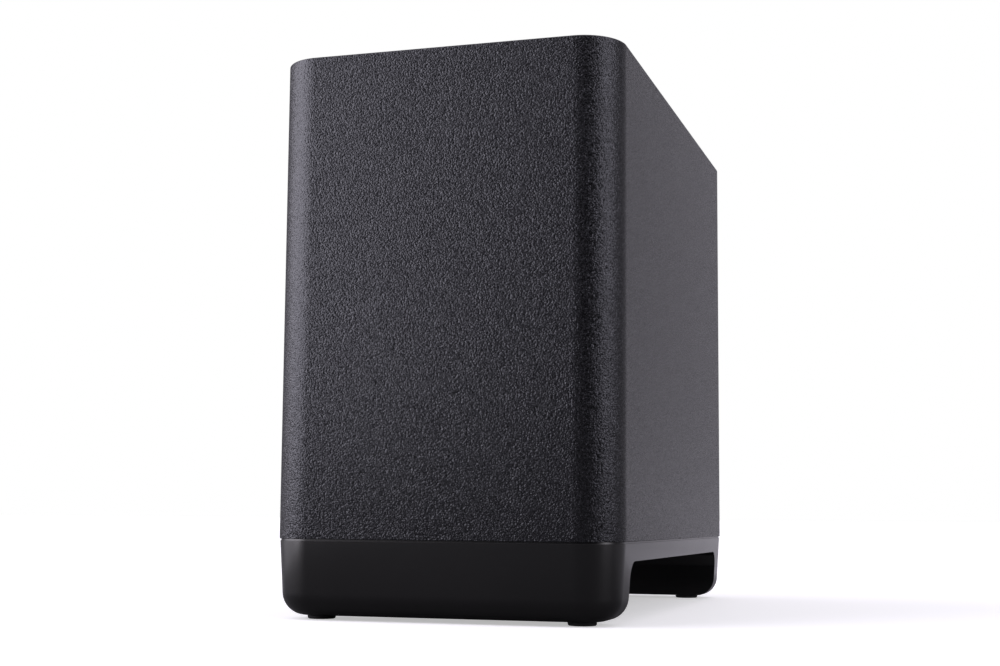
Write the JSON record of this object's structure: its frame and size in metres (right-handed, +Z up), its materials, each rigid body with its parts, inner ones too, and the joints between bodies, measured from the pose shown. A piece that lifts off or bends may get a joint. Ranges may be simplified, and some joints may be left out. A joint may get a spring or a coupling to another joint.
{
  "type": "subwoofer",
  "caption": "Wireless down-firing subwoofer of a sound bar set: grained tall box on a smooth plinth with side openings, rear port and amplifier plate.",
  "frame": {"origin": "centre of the footprint, on the floor under the feet", "axes": "+Z up, the front faces -Y, +X to the right of someone looking at the front"},
  "size_m": [0.229, 0.414, 0.363],
  "materials": {
    "grained_vinyl": "fine leather-like grain, matte",
    "fibreboard": "raw sawn fibreboard",
    "wadding": "fluffy polyester",
    "plinth_plastic": "smooth satin black moulding",
    "black_screw": "black phosphate",
    "foot_rubber": "matt",
    "basket_paint": "black powder coat",
    "gasket_foam": "closed-cell foam",
    "surround_rubber": "satin rubber",
    "cone_paper": "pressed pulp, coated",
    "cap_paper": "pressed pulp, satin",
    "coil_former": "polyimide film",
    "copper_wire": "enamelled copper",
    "spider_cloth": "resin-stiffened cloth",
    "zinc_steel": "zinc plated",
    "ferrite": "ground ferrite",
    "tag_board": "phenolic board with tinned tags",
    "braid": "braided copper",
    "port_plastic": "fine satin moulding",
    "amp_plate_paint": "black powder coat",
    "chamber_plastic": "plain moulding",
    "circuit_board": "green solder mask",
    "brass_spacer": "turned",
    "bright_screw": "zinc plated",
    "core_ferrite": "ferrite",
    "winding_tape": "yellow polyester tape",
    "capacitor_sleeve": "shrink sleeve",
    "inductor_sleeve": "shrink sleeve",
    "heatsink_metal": "extruded",
    "chip_epoxy": "moulded epoxy",
    "radio_board": "blue solder mask with tinned can",
    "fuse_glass": "clear tube with plated ends",
    "nylon": "natural nylon",
    "cable_red": "smooth insulation",
    "grommet_rubber": "matt",
    "inlet_plastic": "moulded",
    "plated_pin": "nickel plated",
    "button_plastic": "satin",
    "switch_plastic": "moulded",
    "switch_ivory": "moulded",
    "led_white": "moulded",
    "light_pipe": "frosted clear"
  },
  "bodies": {
    "cabinet": {"textured_wrap": "grained_vinyl", "cabinet_walls": "fibreboard", "top_panel": "fibreboard", "bottom_baffle": "fibreboard", "brace_panel": "fibreboard", "wadding_front": "wadding", "wadding_left": "wadding", "wadding_right": "wadding", "plinth": "plinth_plastic", "plinth_screws": "black_screw", "foot_front_left": "foot_rubber", "foot_front_right": "foot_rubber", "foot_rear_left": "foot_rubber", "foot_rear_right": "foot_rubber", "driver_basket": "basket_paint", "driver_gasket": "gasket_foam", "trim_ring": "gasket_foam", "surround": "surround_rubber", "spider": "spider_cloth", "top_plate": "zinc_steel", "ferrite_magnet": "ferrite", "pole_yoke": "zinc_steel", "driver_terminal": "tag_board", "tinsel_leads": "braid", "driver_screws": "black_screw", "port_flare": "port_plastic", "port_tube": "port_plastic", "amp_plate": "amp_plate_paint", "amp_gasket": "gasket_foam", "amp_screws": "black_screw", "amp_chamber": "chamber_plastic", "chamber_screws": "black_screw", "main_board": "circuit_board", "board_standoffs": "brass_spacer", "board_screws": "bright_screw", "power_transformer": "core_ferrite", "transformer_winding": "winding_tape", "bulk_capacitors": "capacitor_sleeve", "small_capacitors": "capacitor_sleeve", "output_inductors": "inductor_sleeve", "heatsink": "heatsink_metal", "amp_chip": "chip_epoxy", "wireless_module": "radio_board", "emi_choke": "copper_wire", "fuse": "fuse_glass", "speaker_connector": "nylon", "speaker_cable": "cable_red", "cable_gland": "grommet_rubber", "ac_inlet": "inlet_plastic", "inlet_pins": "plated_pin", "sync_switch": "switch_plastic", "status_led": "led_white", "led_light_pipe": "light_pipe"},
    "cone_assembly": {"cone": "cone_paper", "dust_cap": "cap_paper", "voice_coil_former": "coil_former", "voice_coil_winding": "copper_wire"},
    "pairing_button": {"sync_button": "button_plastic", "switch_plunger": "switch_ivory"}
  },
  "joints": [
    {"name": "cone_travel", "type": "slide", "parent": "cabinet", "child": "cone_assembly", "axis": [0, 0, 1], "range_m": [-0.007, 0.007], "stiffness_N_per_m": 2500, "deforming": ["surround", "spider", "tinsel_leads"]},
    {"name": "button_press", "type": "slide", "parent": "cabinet", "child": "pairing_button", "axis": [0, -1, 0], "range_m": [0, 0.0008], "stiffness_N_per_m": 800}
  ]
}
